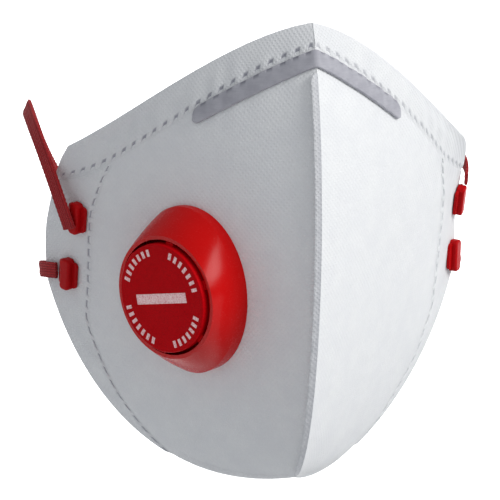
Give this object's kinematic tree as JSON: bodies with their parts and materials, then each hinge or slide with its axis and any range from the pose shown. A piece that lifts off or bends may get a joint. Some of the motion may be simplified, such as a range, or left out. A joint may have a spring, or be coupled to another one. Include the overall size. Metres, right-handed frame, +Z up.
{
  "type": "disposable dust mask",
  "caption": "Flat-fold disposable dust mask opened to shape, with welded hems, a grey nose strip, a red round exhalation valve on one side and red elastic head straps",
  "frame": {"origin": "middle of the opening that meets the wearer's face", "axes": "+Y points back into the face opening, the front of the mask faces -Y, +Z is up to the nose, +X is the wearer's left"},
  "size_m": [0.1483, 0.1518, 0.1495],
  "materials": {
    "cover_nonwoven": "white spunbond nonwoven with a fine point-bond pattern",
    "filter_web": "white meltblown filter web, matt and fibrous",
    "lining_nonwoven": "soft white nonwoven lining",
    "welded_edge": "ultrasonically welded double edge, slightly glossy where it is pressed",
    "nose_strip_grey": "grey coated soft aluminium strip, satin",
    "nose_foam": "grey closed-cell foam",
    "valve_red": "glossy red moulded plastic",
    "valve_cover_red": "deeper red moulded plastic, finely grained face",
    "print_white": "white pad print, slightly worn",
    "silicone": "translucent pale silicone",
    "clip_red": "red moulded plastic",
    "strap_red": "red knitted elastic band"
  },
  "bodies": {
    "right_half": {"outer_shell_right": "cover_nonwoven", "filter_layer_right": "filter_web", "inner_lining_right": "lining_nonwoven", "top_hem_right": "welded_edge", "side_hem_right": "welded_edge", "chin_hem_right": "welded_edge", "valve_base": "valve_red", "valve_inner_ring": "valve_red", "diaphragm_root": "silicone", "diaphragm_clamp": "valve_red", "valve_cover": "valve_cover_red", "cover_marks": "print_white", "upper_clip_right": "clip_red", "lower_clip_right": "clip_red", "clip_backs_right": "clip_red", "nose_clip": "nose_strip_grey", "nose_foam": "nose_foam", "centre_seam": "welded_edge", "upper_head_strap": "strap_red", "lower_head_strap": "strap_red"},
    "left_half": {"outer_shell_left": "cover_nonwoven", "filter_layer_left": "filter_web", "inner_lining_left": "lining_nonwoven", "top_hem_left": "welded_edge", "side_hem_left": "welded_edge", "chin_hem_left": "welded_edge", "upper_clip_left": "clip_red", "lower_clip_left": "clip_red", "clip_backs_left": "clip_red"},
    "diaphragm": {"valve_diaphragm": "silicone"}
  },
  "joints": [
    {"name": "centre_fold", "type": "hinge", "parent": "right_half", "child": "left_half", "pos_m": [0, -0.0632, 0.01], "axis": [0, -0.0825, 0.9966], "range_deg": [0, 70], "deforming": ["nose_clip", "nose_foam", "centre_seam", "upper_head_strap", "lower_head_strap"]},
    {"name": "diaphragm_flap", "type": "hinge", "parent": "right_half", "child": "diaphragm", "pos_m": [-0.03673, -0.05865, 0.00796], "axis": [-0.5592, 0.829, 0], "range_deg": [0, 15], "stiffness_Nm_per_rad": 0.0004}
  ]
}
